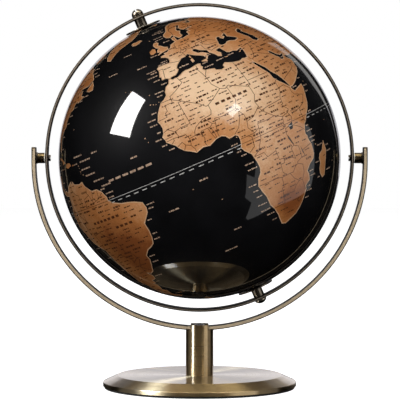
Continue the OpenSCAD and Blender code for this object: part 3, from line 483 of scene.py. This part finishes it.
def coast_labels():
    """Labels on the sea beside the coasts, each running away from the shore."""
    out, rows = [], []
    for name, outline in land.items():
        if name.startswith("islet"):
            continue
        for (x0, y0), (x1, y1) in zip(outline, closed(outline)[1:]):
            x, y = (x0 + x1) / 2, (y0 + y1) / 2 + random.uniform(-0.3, 0.3)
            ratio = lon_per_lat(y)
            length = random.uniform(1.6, 4.2)
            start = x - (length + 1) * ratio if y1 > y0 else x + ratio
            near = places_round(start, y, length * ratio, 0.15, 0.6)
            clear = all(abs(y - py) > COAST_LABEL_GAP or abs(start - px) > COAST_LABEL_REACH * ratio
                        for px, py in rows)
            if (abs(y) < LAST_COAST_LABEL and clear and random.random() < 0.8
                    and not any(is_land(*p, land.values()) for p in near)):
                rows.append((start, y))
                out += broken_dash(start, y, length, COAST_LABEL_H)
    return out


def sea_marks():
    out = []
    for lon, lat, number in OCEAN_NAMES:
        out += dash_row(lon, lat, number, OCEAN_DASH, OCEAN_DASH_H, OCEAN_GAP)
    for lon, lat, length in SEA_MARKS:
        out += broken_dash(lon, lat, length, SEA_LABEL_H)
    return out


def equator():
    lat, height = EQUATOR_LINE
    out = [bar(x, x + GRID_STEP, lat, height) for x in range(WEST_EDGE, EAST_EDGE, GRID_STEP)]
    lat, height = EQUATOR_DASHES
    starts = range(WEST_EDGE + 1, EAST_EDGE - 2, EQUATOR_PERIOD)
    return out + [dash(x, lat, EQUATOR_DASH, height) for x in starts]


# ---- The flat map ----

# Materials of the map, in the order of its material slots
OCEAN, COPPER, COAST, DARK_INK, PALE_INK, WHITE_INK, INSIDE = range(7)
COAST_WIDTH, BORDER_WIDTH = 0.36, 0.22  # degrees of latitude
SMALLEST_COAST = 12  # square degrees; smaller islands get no coast line
# For delaunay_2d_cdt: keep triangles inside the outlines, and join points this close, in degrees
KEEP_INSIDE, JOIN_WITHIN = 1, 1e-4


def map_outlines():
    """Every closed outline of the map with what it stands for, lowest first."""
    out = [("coast" if name.startswith("islet") else "land", o) for name, o in land.items()]
    out += [("water", o) for o in water.values()]
    for o in [*land.values(), *water.values()]:
        if abs(signed_area(o)) > SMALLEST_COAST:
            out += [("coast", q) for q in strip(divided(closed(o)), COAST_WIDTH)]
    out += [("coast", q) for q in strip(divided(antarctic_coast[1:-1]), COAST_WIDTH)]
    for line in BORDERS.split(";"):
        out += [("ink", q) for q in strip(divided(points(line)), BORDER_WIDTH)]
    out += [("ink", q) for q in land_labels() + coast_labels() + sea_marks()]
    out += [("equator", q) for q in equator()]
    return out


def material_of(kinds, dry):
    """The material of a face that lies in outlines of these kinds, on land or not."""
    if "equator" in kinds:
        return DARK_INK if dry else WHITE_INK
    if "ink" in kinds:
        return DARK_INK if dry else PALE_INK
    if "coast" in kinds:
        return COAST
    return COPPER if dry else OCEAN


def grid_points():
    """The mesh's own points, about evenly spread, and the outline of the whole map."""
    rows = [(lat, max(FEWEST_IN_ROW, round(360 * math.cos(math.radians(lat)) / GRID_STEP)))
            for lat in range(-LAST_ROW, LAST_ROW + 1, GRID_STEP)]
    free = [(WEST_EDGE + 360 * k / n, lat) for lat, n in rows for k in range(1, n)]
    caps = range(WEST_EDGE, EAST_EDGE + 1, CAP_STEP)
    rim = [(x, -HOLE_LAT) for x in caps]
    rim += [(EAST_EDGE, lat) for lat, n in rows]
    rim += [(x, HOLE_LAT) for x in reversed(caps)]
    rim += [(WEST_EDGE, lat) for lat, n in reversed(rows)]
    return free, rim


def flat_map():
    """Vertices in degrees, triangles, and each triangle's material."""
    verts, faces, kinds = [], [], []
    free, rim = grid_points()

    def add_outline(kind, outline):
        reach = max(abs(x - MAP_MIDDLE) for x, y in outline)
        if reach > 180 - SLIT_MARGIN and kind in ("coast", "ink"):
            return
        if signed_area(outline) < 0:
            outline = outline[::-1]
        kinds.append(kind)
        faces.append(list(range(len(verts), len(verts) + len(outline))))
        verts.extend(Vector(p) for p in outline)

    def add_line(line):
        """Adds an open line that triangles may not cross, and returns its edges."""
        first = len(verts)
        verts.extend(Vector(p) for p in line)
        return [(k, k + 1) for k in range(first, len(verts) - 1)]

    add_outline("sea", rim)
    for kind, outline in map_outlines():
        add_outline(kind, divided(closed(outline))[:-1])
    edges = add_line([(x, 0) for x in range(WEST_EDGE, EAST_EDGE + 1, GRID_STEP)])
    edges += add_line(divided(antarctic_coast))
    verts.extend(Vector(p) for p in free)
    out = delaunay_2d_cdt(verts, edges, faces, KEEP_INSIDE, JOIN_WITHIN, True)
    new_verts, triangles, sources = np.array(out[0], float), out[2], out[5]
    x, y = new_verts[np.array(triangles)].mean(axis=1).T
    dry = is_land(x, y, [*land.values(), antarctica])
    materials = [material_of({kinds[i] for i in s}, d) for s, d in zip(sources, dry)]
    return new_verts, triangles, materials


# ---- From the flat map to two printed half shells ----

def on_globe(lon, lat, radius):
    """Points on the ball, from arrays of degrees."""
    front = Vector((0, -1, 0))
    e0 = (front - front.dot(POLE) * POLE).normalized()
    east = np.array(POLE.cross(e0))
    a, b = np.radians(lon - FACING_LON)[:, None], np.radians(lat)[:, None]
    unit = np.cos(b) * (np.cos(a) * np.array(e0) + np.sin(a) * east) + np.sin(b) * np.array(POLE)
    return unit * radius + np.array(CENTRE)


# Soft spots of lighter (+) or redder and darker (-) land, print tone and partly painted shade: longitude,
# latitude, radius, amount
TONE_AND_SHADE_SPOTS = [(8, 24, 24, 0.5), (24, 18, 16, 0.2), (-6, 40, 9, 0.25), (2, 7, 8, -0.4), (12, 4, 7, -0.16),
         (-10, 9, 6, -0.2), (22, -10, 15, 0.08), (25, -29, 9, -0.55), (-42, -8, 9, 0.1),
         (-55, -15, 16, -0.35), (-50, -28, 12, -0.5), (60, 55, 30, -0.25), (40, 20, 12, -0.1),
         (-40, 72, 20, -0.1), (-75, 45, 20, -0.2)]
MERGE_WITHIN = 2e-3 * MM  # vertices this close, on the two sides of the slit, become one


def tone_and_shade(lon, lat):
    """How light the land is at each point, about 0 to 1: the print's tone and some painted shade."""
    value = np.full(len(lon), 0.5)
    for x, y, r, amount in TONE_AND_SHADE_SPOTS:
        d2 = ((lon - x) * math.cos(math.radians(y))) ** 2 + (lat - y) ** 2
        value += amount * np.exp(-d2 / r ** 2)
    return value


def shell(name, node, side, flat, materials):
    """One half of the ball: the map's faces on this side of the equator, and a plain inner wall."""
    verts, triangles, map_slots = flat
    used = [i for i, t in enumerate(triangles) if side * sum(verts[v][1] for v in t) > 0]
    keep = sorted({v for i in used for v in triangles[i]})
    lon, lat = verts[keep].T
    outer = on_globe(lon, lat, GLOBE_R)
    keys, merged, where = {}, [], {}
    for v, p in zip(keep, outer):
        key = tuple(np.round(p / MERGE_WITHIN).astype(int))
        if key not in keys:
            keys[key] = len(merged)
            merged.append(v)
        where[v] = keys[key]
    index = {v: k for k, v in enumerate(keep)}
    rows = [index[v] for v in merged]
    outer, shade = outer[rows], tone_and_shade(lon[rows], lat[rows])
    centre, count = np.array(CENTRE), len(rows)
    inner = centre + (outer - centre) * ((GLOBE_R - SHELL_WALL) / GLOBE_R)
    faces, face_slots, rims = [], [], {}
    for i in used:
        a, b, c = (where[v] for v in triangles[i])
        if len({a, b, c}) < 3:
            continue
        faces += [(a, b, c), (c + count, b + count, a + count)]
        face_slots += [map_slots[i], INSIDE]
        for edge in ((a, b), (b, c), (c, a)):
            if edge[::-1] in rims:
                del rims[edge[::-1]]
            else:
                rims[edge] = True
    for a, b in rims:  # the wall's edge, at the equator and at the hole
        faces.append((b, a, a + count, b + count))
        face_slots.append(INSIDE)
    mesh = bpy.data.meshes.new(name)
    mesh.from_pydata(np.concatenate([outer, inner]).tolist(), [], faces)
    mesh.polygons.foreach_set("material_index", face_slots)
    mesh.polygons.foreach_set("use_smooth", [True] * len(faces))
    for material in materials:
        mesh.materials.append(material)
    # painted shade as well as print tone, per point, for the land's colour
    attribute = mesh.attributes.new("tone_and_shade", "FLOAT", "POINT")
    attribute.data.foreach_set("value", np.concatenate([shade, shade]).astype(np.float32))
    normals = (outer - centre) / GLOBE_R
    mesh.normals_split_custom_set([n for f in faces for n in face_normals(f, count, normals)])
    piece = new_object(name, mesh)
    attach(piece, "globe")
    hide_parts(node)
    return piece


def face_normals(face, count, normals):
    """The normals at a face's corners: round outside and inside, flat across the wall's edge."""
    if len(face) == 3:
        return [normals[v] if v < count else -normals[v - count] for v in face]
    b, a = face[0], face[1]
    flat = np.cross(normals[b], normals[a])
    flat = -flat / np.linalg.norm(flat)
    return [flat] * 4


# ---- Materials ----

class Shader:
    """A material's node tree, with short calls for adding and joining nodes."""

    def __init__(self, name):
        self.material = bpy.data.materials.new(name)
        self.material.use_nodes = True
        self.tree = self.material.node_tree
        self.surface = self.tree.nodes["Principled BSDF"]

    def add(self, kind, inputs=(), **settings):
        node = self.tree.nodes.new("ShaderNode" + kind)
        for key, value in settings.items():
            setattr(node, key, value)
        self.set(node, dict(inputs))
        return node

    def set(self, node, inputs):
        for key, value in inputs.items():
            if isinstance(value, bpy.types.NodeSocket):
                self.tree.links.new(value, node.inputs[key])
            else:
                node.inputs[key].default_value = value

    def object_point(self):
        return self.add("TexCoord").outputs["Object"]

    def noise(self, vector, scale, detail=3, rough=0.5):
        settings = {"Vector": vector, "Scale": scale, "Detail": detail, "Roughness": rough}
        return self.add("TexNoise", settings).outputs["Fac"]

    def remap(self, value, low, high, start=0.3, end=0.7):
        """A value from start to end becomes one from low to high."""
        ends = {"From Min": start, "From Max": end, "To Min": low, "To Max": high}
        return self.add("MapRange", {"Value": value, **ends}).outputs["Result"]

    def calc(self, operation, *inputs):
        return self.add("Math", dict(enumerate(inputs)), operation=operation).outputs[0]

    def vector(self, operation, *inputs):
        """Vector arithmetic; a dot product or a length comes out as a number."""
        node = self.add("VectorMath", dict(enumerate(inputs)), operation=operation)
        return node.outputs["Value" if operation in ("DOT_PRODUCT", "LENGTH") else "Vector"]

    def worn_edges(self, amount, start, end):
        """Grows to amount along sharp outer edges, where the finish has rubbed."""
        return self.remap(self.add("NewGeometry").outputs["Pointiness"], 0, amount, start, end)

    def ramp(self, value, stops):
        node = self.add("ValToRGB", {"Fac": value})
        while len(node.color_ramp.elements) < len(stops):
            node.color_ramp.elements.new(0.5)
        for element, (position, colour) in zip(node.color_ramp.elements, stops):
            element.position = position
            element.color = (*colour[:3], 1)
        return node.outputs["Color"]

    def mix(self, factor, a, b):
        node = self.add("Mix", data_type="RGBA")
        self.set(node, {0: factor, 6: a, 7: b})
        return node.outputs[2]

    def bump(self, height, distance, strength, socket="Normal"):
        node = self.add("Bump", {"Height": height, "Distance": distance, "Strength": strength})
        self.set(self.surface, {socket: node.outputs["Normal"]})

    def from_centre(self, centre):
        return self.vector("SUBTRACT", self.object_point(), tuple(centre))

    def around(self, centre, axis):
        """The direction round an axis through centre."""
        turn = self.vector("CROSS_PRODUCT", tuple(axis), self.from_centre(centre))
        turn = self.vector("NORMALIZE", turn)
        return self.add("VectorTransform", {"Vector": turn}, vector_type="VECTOR", convert_from="OBJECT",
                        convert_to="WORLD").outputs[0]

    def polar(self, centre, axis):
        """Distance from an axis through centre, and place along it, as one vector for textures."""
        place = self.from_centre(centre)
        along = self.vector("DOT_PRODUCT", place, tuple(axis))
        spoke = self.vector("SUBTRACT", place, self.vector("MULTIPLY", tuple(axis), along))
        return self.add("CombineXYZ", {"X": self.vector("LENGTH", spoke), "Y": along}).outputs[0]


def rgb(r, g, b):
    """A colour as seen on a screen, 0 to 255, as the linear values that shaders use."""
    return tuple(((v / 255 + 0.055) / 1.055) ** 2.4 if v > 10 else v / 255 / 12.92 for v in (r, g, b))


def shaded(colour, factor=1):
    """A colour made lighter or darker by a factor, with full alpha."""
    return (*[min(1, factor * c) for c in colour[:3]], 1)


BRUSH_LINES = 2600  # scale of the fine brushing, for the noise textures
CORNER_SHADE_LINE = (0.8 * MM, 0.45 * MM)  # depths where a band's rim starts and ends, at its outer corner, leaving a painted shade line there


def brushed_metal(name, light, dark, rough, centre=(0, 0, 0), axis=(0, 0, 1), aniso=0.95, lacquer=0.0,
                  rims=None, painted_shade=None, outer=0):
    """Plated metal brushed round an axis: fine lines, patina in patches, paler worn edges.

    A band cut from strip also has linished rims, a painted reflection of the dark ball on the side towards
    its centre, and painted shade lines along its eased edges and outer corner, at the radius outer.
    """
    s = Shader(name)
    point, around = s.object_point(), s.polar(centre, axis)
    lines = s.noise(around, BRUSH_LINES, 4, 0.6)
    patches = s.noise(point, 45, 5, 0.55)
    stains = s.noise(point, 160, 4, 0.6)
    body = s.ramp(patches, [(0.3, dark), (0.62, light)])
    body = s.mix(s.remap(lines, 0, 0.45), body, shaded(light, 0.6))
    body = s.mix(s.remap(stains, 0, 0.35, 0.55, 0.8), body, shaded(dark, 0.5))
    body = s.mix(s.worn_edges(1, 0.52, 0.6), body, shaded(light, 1.5))
    spread = s.calc("ADD", s.remap(lines, -0.05, 0.07), s.remap(patches, rough - 0.02, rough + 0.03))
    s.set(s.surface, {"Metallic": 1.0, "Anisotropic": aniso, "Anisotropic Rotation": 0.25,
                      "Tangent": s.around(centre, axis), "Coat Weight": lacquer, "Coat Roughness": 0.1})
    if rims:
        normal = s.add("TexCoord").outputs["Normal"]
        # painted reflection: the side towards the centre, which mirrors the dark ball, is coloured dark
        outward = s.vector("DOT_PRODUCT", normal, s.from_centre(centre))
        painted_inside = s.ramp(patches, [(0.3, shaded(painted_shade, 0.6)), (0.7, painted_shade)])
        body = s.mix(s.remap(outward, 1, 0, -0.05, 0), body, painted_inside)
        # painted shade: faces turned towards the axis are coloured dark, which the rim then covers except
        # on the eased edges and along the outer corner
        facing = s.calc("ABSOLUTE", s.vector("DOT_PRODUCT", normal, tuple(axis)))
        body = s.mix(s.remap(facing, 0, 1, 0.2, 0.6), body, shaded(painted_shade, 0.6))
        radius = s.add("SeparateXYZ", {0: around}).outputs["X"]
        inset = s.remap(radius, 1, 0, outer - CORNER_SHADE_LINE[0], outer - CORNER_SHADE_LINE[1])
        rim = s.calc("MULTIPLY", s.remap(facing, 0, 1, 0.86, 0.98), inset)
        body = s.mix(rim, body, s.ramp(stains, [(0.3, rims), (0.75, shaded(rims, 0.7))]))
        spread = s.calc("ADD", spread, s.remap(rim, 0, 0.2, 0, 1))
        s.set(s.surface, {"Metallic": s.remap(rim, 1, 0.4, 0, 1),
                          "Anisotropic": s.remap(rim, aniso, 0, 0, 1)})
    s.set(s.surface, {"Base Color": body, "Roughness": spread})
    s.bump(lines, 0.02 * MM, 0.35)
    return s.material


def plain_metal(name, light, dark, rough):
    """Turned hardware: metal with small scuffs and bare edges."""
    s = Shader(name)
    point = s.object_point()
    scuffs, patches = s.noise(point, 900, 4, 0.65), s.noise(point, 120, 3)
    body = s.ramp(patches, [(0.35, dark), (0.65, light)])
    body = s.mix(s.worn_edges(0.8, 0.52, 0.62), body, shaded(light, 1.8))
    s.set(s.surface, {"Base Color": body, "Metallic": 1.0,
                      "Roughness": s.remap(scuffs, rough - 0.06, rough + 0.1)})
    s.bump(scuffs, 0.03 * MM, 0.3)
    return s.material


def rubber(name, colour):
    s = Shader(name)
    grain, dust = s.noise(s.object_point(), 1800, 4, 0.7), s.noise(s.object_point(), 90, 3)
    s.set(s.surface, {"Base Color": s.mix(s.remap(dust, 0, 0.3), shaded(colour), shaded(colour, 2.2)),
                      "Roughness": s.remap(grain, 0.7, 0.9)})
    s.bump(grain, 0.08 * MM, 0.5)
    return s.material


def plastic(name, light, dark):
    s = Shader(name)
    cloud, grain = s.noise(s.object_point(), 60, 3), s.noise(s.object_point(), 2200, 3)
    s.set(s.surface, {"Base Color": s.ramp(cloud, [(0.3, dark), (0.7, light)]),
                      "Roughness": s.remap(grain, 0.39, 0.55)})
    s.bump(grain, 0.03 * MM, 0.25)
    return s.material


def print_coat(s, body, rough=0.5):
    """The printed map's finish: one glossy coat with faint orange peel, over a slight haze."""
    point = s.object_point()
    peel, marks = s.noise(point, 220, 2), s.noise(point, 40, 4)
    s.set(s.surface, {"Base Color": body, "Roughness": s.remap(marks, rough - 0.05, rough + 0.08),
                      "Coat Weight": 1.0, "Coat Roughness": 0.035, "Coat IOR": 1.5,
                      "Specular IOR Level": 0.03})
    s.bump(peel, 0.004 * MM, 0.3, "Coat Normal")


def ocean_print():
    s = Shader("ocean_print")
    depth = s.noise(s.object_point(), 22, 5, 0.6)
    print_coat(s, s.ramp(depth, [(0.3, rgb(13, 13, 14)), (0.7, rgb(25, 25, 27))]), 0.4)
    return s.material


def copper_print():
    """Land: copper ink, lighter or redder by print tone with painted shade in it, mottled at two scales.
    """
    s = Shader("copper_print")
    point = s.object_point()
    shade = s.add("Attribute", attribute_name="tone_and_shade").outputs["Fac"]
    mottle = s.remap(s.noise(point, 55, 6, 0.62), -0.16, 0.16)
    grain = s.remap(s.noise(point, 900, 3, 0.7), -0.1, 0.1)
    total = s.calc("ADD", s.calc("ADD", shade, mottle), grain)
    print_coat(s, s.ramp(total, [(0.0, rgb(140, 80, 42)), (0.3, rgb(184, 118, 66)),
                                 (0.55, rgb(200, 142, 94)), (1.0, rgb(240, 204, 166))]))
    return s.material


def ink_print(name, light, dark):
    s = Shader(name)
    patchy = s.noise(s.object_point(), 700, 3, 0.6)
    print_coat(s, s.ramp(patchy, [(0.35, dark), (0.65, light)]))
    return s.material


def map_materials():
    return [ocean_print(), copper_print(),
            ink_print("coast_print", rgb(222, 184, 148), rgb(204, 158, 118)),
            ink_print("dark_ink", rgb(94, 56, 34), rgb(64, 37, 23)),
            ink_print("pale_ink", rgb(204, 176, 152), rgb(156, 126, 104)),
            ink_print("white_ink", rgb(206, 204, 200), rgb(160, 156, 152)),
            plastic("shell_inside", rgb(70, 68, 66), rgb(48, 46, 45))]


# ---- The CAD's own pieces: eased edges and materials ----

def ease(node, width, material):
    """Rounds a CAD node's edges by width and gives it its finish. Its mesh stays as packed."""
    piece = frame["nodes"][node]
    weld = piece.modifiers.new("weld", "WELD")
    weld.merge_threshold = 1e-3 * MM
    bevel = piece.modifiers.new("bevel", "BEVEL")
    bevel.width, bevel.segments = width, 3
    bevel.limit_method, bevel.angle_limit = "ANGLE", math.radians(32)
    bevel.use_clamp_overlap = True
    normals = piece.modifiers.new("normals", "WEIGHTED_NORMAL")
    normals.weight = 80
    for slot in piece.material_slots:
        slot.link = "OBJECT"
        slot.material = material


def finish_metalwork():
    brass, brass_dark, column_dark = rgb(186, 160, 116), rgb(142, 114, 76), rgb(166, 139, 98)
    base = brushed_metal("base_brass", brass, brass_dark, 0.36, lacquer=0.8)
    column = brushed_metal("column_brass", brass, column_dark, 0.31, aniso=0.88, lacquer=0.8)
    spacer = brushed_metal("spacer_brass", rgb(134, 116, 84), rgb(98, 80, 54), 0.38, CENTRE, (1, 0, 0))
    # The arm and the ring get a darker colour painted on their inner sides and eased edges, as painted
    # shade and a painted reflection of the dark ball
    arm = brushed_metal("arm_brass", brass, brass_dark, 0.4, ARM_CENTRE, (0, 1, 0),
                        rims=rgb(186, 168, 140), painted_shade=rgb(58, 47, 36), outer=ARM_HIGH.x)
    ring = brushed_metal("ring_bronze", rgb(120, 108, 84), rgb(84, 74, 56), 0.4, CENTRE, RING_AXIS,
                         rims=rgb(118, 108, 96), painted_shade=rgb(44, 39, 33), outer=RING_HIGH.x)
    axle = plain_metal("axle_bronze", rgb(128, 120, 108), rgb(84, 76, 66), 0.24)
    dark = plain_metal("dark_screws", rgb(110, 102, 92), rgb(70, 64, 58), 0.28)
    zinc = plain_metal("zinc_steel", rgb(178, 180, 182), rgb(140, 142, 145), 0.35)
    iron = plain_metal("ballast_iron", rgb(110, 108, 106), rgb(70, 66, 62), 0.6)
    pad = rubber("pad_rubber", rgb(26, 25, 24))
    nylon = plastic("nylon", rgb(226, 222, 210), rgb(204, 198, 184))
    inner = plastic("inner_plastic", rgb(74, 72, 70), rgb(50, 48, 47))
    finishes = [
        ("base_cover", 0.25, base), ("column", 0.25, column), ("arm", 0.9, arm),
        ("meridian_ring", 0.7, ring), ("foot_pad", 0.3, pad), ("base_ballast", 0.3, iron),
        ("base_bolt", 0.3, zinc), ("base_washer", 0.15, zinc), ("column_foot_plug", 0.3, zinc),
        ("column_head_plug", 0.3, zinc), ("arm_screw", 0.15, dark), ("equator_joint_ring", 0.2, inner)]
    for side in ("left", "right"):
        finishes += [(f"{side}_pivot_screw", 0.12, dark), (f"{side}_pivot_nut", 0.12, dark),
                     (f"{side}_pivot_spacer", 0.2, spacer), (f"{side}_pivot_washer", 0.1, nylon)]
    for pole in ("north", "south"):
        finishes += [(f"{pole}_axle_screw", 0.15, axle), (f"{pole}_axle_sleeve", 0.2, axle),
                     (f"{pole}_pole_plate", 0.2, axle), (f"{pole}_thrust_washer", 0.1, nylon),
                     (f"{pole}_pole_bush", 0.2, nylon)]
    for node, width, material in finishes:
        ease(node, width * MM, material)


# ---- Studio ----

def direction(azimuth, elevation):
    """A unit vector; azimuth 0 is towards the camera and 90 to its right, in degrees."""
    a, e = math.radians(azimuth), math.radians(elevation)
    return Vector((math.sin(a) * math.cos(e), -math.cos(a) * math.cos(e), math.sin(e)))


def softbox(name, azimuth, elevation, wide, high, radiance, colour=(1, 1, 1), roll=0, distance=3,
            gloss=True, only=None):
    """A rectangular light facing the ball; wide and high are the angles it covers, in degrees."""
    data = bpy.data.lights.new(name, "AREA")
    data.shape = "RECTANGLE"
    data.size = 2 * distance * math.tan(math.radians(wide / 2))
    data.size_y = 2 * distance * math.tan(math.radians(high / 2))
    data.energy = radiance * math.pi * data.size * data.size_y
    data.color = colour
    lamp = new_object(name, data)
    back = direction(azimuth, elevation)
    lamp.location = CENTRE + back * distance
    aim = back.to_track_quat("Z", "Y").to_matrix()
    lamp.rotation_euler = (aim @ Matrix.Rotation(math.radians(roll), 3, "Z")).to_euler()
    lamp.visible_camera = False
    lamp.visible_glossy = gloss
    if only:
        lamp.light_linking.receiver_collection = only


CARD_DISTANCE = 4


def mirrored(azimuth, elevation):
    """The place, on a card, that the camera sees reflected by the ball from this direction."""
    towards = direction(azimuth, elevation)
    return CENTRE + (towards + direction(0, 0)).normalized() * GLOBE_R + towards * CARD_DISTANCE


def card(name, outline, glow, colour=(1, 1, 1), only=None):
    """A glowing card seen only in gloss, its corners given as azimuth and elevation."""
    mesh = bpy.data.meshes.new(name)
    mesh.from_pydata([mirrored(a, e) for a, e in outline], [], [list(range(len(outline)))])
    s = Shader(name)
    s.set(s.surface, {"Base Color": (0, 0, 0, 1), "Emission Color": shaded(colour),
                      "Emission Strength": glow, "Specular IOR Level": 0.0})
    mesh.materials.append(s.material)
    glowing = new_object(name, mesh)
    glowing.visible_camera = glowing.visible_diffuse = glowing.visible_shadow = False
    if only:
        glowing.light_linking.receiver_collection = only


def group(name, pieces):
    """A collection that lights can be kept to."""
    out = bpy.data.collections.new(name)
    for piece in pieces:
        out.objects.link(piece)
    return out


def backdrop():
    """White behind everything, lighting nothing itself, and a pale floor."""
    scene = bpy.context.scene
    scene.view_settings.view_transform = "Standard"
    scene.world = bpy.data.worlds.new("backdrop")
    scene.world.use_nodes = True
    scene.world.node_tree.nodes["Background"].inputs["Color"].default_value = (1, 1, 1, 1)
    seen = scene.world.cycles_visibility
    seen.diffuse = seen.glossy = seen.transmission = seen.scatter = False

    reach, level = 6.0, cad_box[0].z - 0.1 * MM
    corner_signs = ((-1, -1), (1, -1), (1, 1), (-1, 1))
    floor = bpy.data.meshes.new("floor")
    floor.from_pydata([(x * reach, y * reach, level) for x, y in corner_signs], [], [(0, 1, 2, 3)])
    s = Shader("pale_floor")
    tint = s.mix(s.noise(s.object_point(), 3), (0.8, 0.8, 0.8, 1), (0.84, 0.84, 0.84, 1))
    s.set(s.surface, {"Base Color": tint, "Roughness": 0.9, "Emission Color": (1, 1, 1, 1),
                      "Emission Strength": 0.97})
    floor.materials.append(s.material)
    ground = new_object("floor", floor)
    ground.visible_glossy = ground.visible_diffuse = False


def studio(shells):
    """Lights for the whole, cards that stand for the room in the ball's gloss, and lights that are
    kept to the metal, which would otherwise mirror an empty room."""
    nodes = frame["nodes"]
    ball = group("ball", shells)
    metals = group("metals", [piece for node, piece in nodes.items() if not node.endswith("hemisphere")])
    column = group("column_only", [nodes["column"]])
    base = group("base_only", [nodes["base_cover"]])
    own_keys = ("column", "base_cover")
    keyed = group("keyed", [p for p in [*shells, *metals.objects] if p.name not in own_keys])

    card("key", [(-77.3, 44.0), (-56.6, 41.6), (-58.8, 13.9), (-78.9, 15.0)], 34, (1, 0.98, 0.96),
         only=keyed)
    softbox("front_fill", -6, 25, 60, 50, 3.0, gloss=False)
    softbox("side_fill", 40, 5, 30, 40, 0.8, gloss=False)
    softbox("left_fill", -62, -14, 40, 40, 1.5, gloss=False)
    softbox("back_fill", 180, 40, 60, 40, 0.9, gloss=False)
    softbox("glint", 32, 36.5, 11, 6, 9, (1, 0.99, 0.97), roll=35, distance=4)
    softbox("glint_glow", 33, 37, 26, 13, 1.8, (1, 0.99, 0.97), roll=35, distance=4)
    card("right_panel", [(48, 31), (105, 15), (106, -14), (72, -32), (53.5, -46), (50, -45), (48.5, -33),
                         (41, -30), (38.5, -12.5), (45.5, -14.5), (45.5, 6)], 0.85, only=ball)
    card("back_panel_high", [(155, 36), (149.5, 27.5), (144.5, 21), (147, 13), (158.4, 9), (157, 16),
                             (162, 25)], 0.7, (1, 0.98, 0.96))
    card("back_panel_low", [(149, 12.5), (160, 8.5), (164, 4), (165, -2), (151, -2)], 0.9, (0.98, 0.96, 1))
    card("back_panel", [(164, -3), (197, -3), (197, 17), (164, 17)], 0.7, (0.98, 0.96, 1))

    softbox("column_key", -58, 4, 9, 60, 12, (0.66, 0.9, 1.4), only=column)
    softbox("base_key", -66, 30, 19, 26, 60, (0.76, 0.97, 1.4), only=base)
    white = (1, 1, 1)
    for name, azimuth, elevation, wide, high, radiance, colour in [
            ("front", 0, 8, 70, 50, 0.08, white), ("front_top", 8, 71, 80, 20, 7, (1, 0.97, 0.84)),
            ("right", 54, -2, 34, 60, 1.0, white), ("right_wide", 84, -2, 44, 60, 0.3, white),
            ("left", -56, -4, 24, 60, 1.0, (0.98, 0.98, 1)), ("left_wide", -92, 0, 34, 60, 0.2, white),
            ("back", 180, 16, 90, 32, 0.27, (0.98, 0.97, 1.0)), ("top", 0, 86, 50, 50, 0.42, white),
            ("back_top", 180, 58, 70, 36, 0.65, (1, 0.96, 0.9))]:
        softbox(f"metal_{name}", azimuth, elevation, wide, high, radiance, colour, only=metals)


EYE_ASIDE, EYE_AWAY, EYE_HEIGHT = 0.3 * MM, 1.3, 0.155
EYE_DOWN = 0.962  # degrees below level
LENS = 164.7  # millimetres, for a sensor 36 mm wide


def camera():
    """The photograph's viewpoint: in front, about level with the ball's centre, a long lens."""
    data = bpy.data.cameras.new("camera")
    data.lens, data.sensor_width = LENS, 36
    eye = new_object("camera", data)
    eye.location = (CENTRE.x + EYE_ASIDE, CENTRE.y - EYE_AWAY, EYE_HEIGHT)
    eye.rotation_euler = (math.radians(90 - EYE_DOWN), 0, 0)
    bpy.context.scene.camera = eye


finish_metalwork()
printed, inks = flat_map(), map_materials()
backdrop()
studio([shell("north_map_shell", "north_hemisphere", 1, printed, inks),
        shell("south_map_shell", "south_hemisphere", -1, printed, inks)])
camera()
